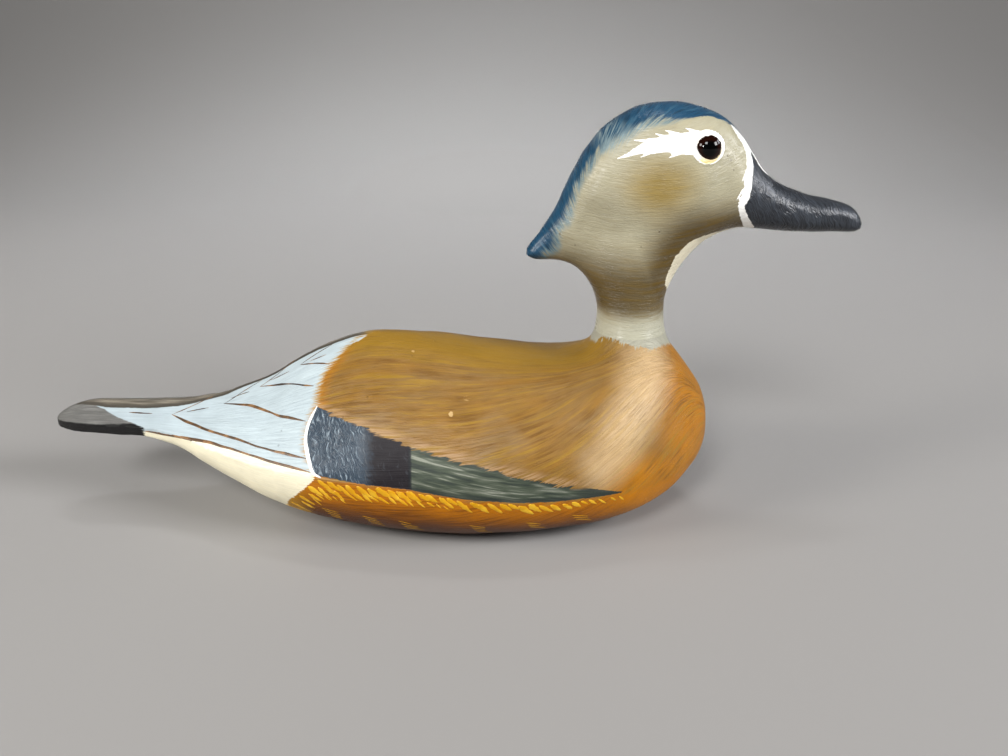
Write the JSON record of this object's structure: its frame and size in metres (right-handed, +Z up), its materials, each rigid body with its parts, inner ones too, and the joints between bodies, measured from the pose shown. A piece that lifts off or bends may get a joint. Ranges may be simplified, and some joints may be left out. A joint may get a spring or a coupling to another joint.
{
  "type": "wood duck decoy",
  "caption": "Carved and painted wooden wood duck hen decoy: head block with glass eyes on a rounded body with a flat underside and a paddle tail, a still life-size display model.",
  "frame": {"origin": "centre of the decoy's footprint, on the surface that it rests on", "axes": "+X towards the bill, +Z up, +Y towards the bird's left side"},
  "size_m": [0.3483, 0.1144, 0.1779],
  "materials": {
    "painted_head": "hand-brushed semi-gloss paint on carved wood: olive-grey face and neck, blue crown and crest, white eye patch, black bill",
    "painted_body": "hand-brushed semi-gloss paint on carved wood: golden-brown back and flanks, slate-blue wing patch, pale blue-grey rump, charcoal tail",
    "eye_glass": "polished dark brown glass"
  },
  "bodies": {
    "root": {"bill": "painted_head", "head": "painted_head", "crest": "painted_head", "neck": "painted_head", "eye_left": "eye_glass", "eye_right": "eye_glass", "torso": "painted_body", "tail": "painted_body"}
  },
  "joints": []
}
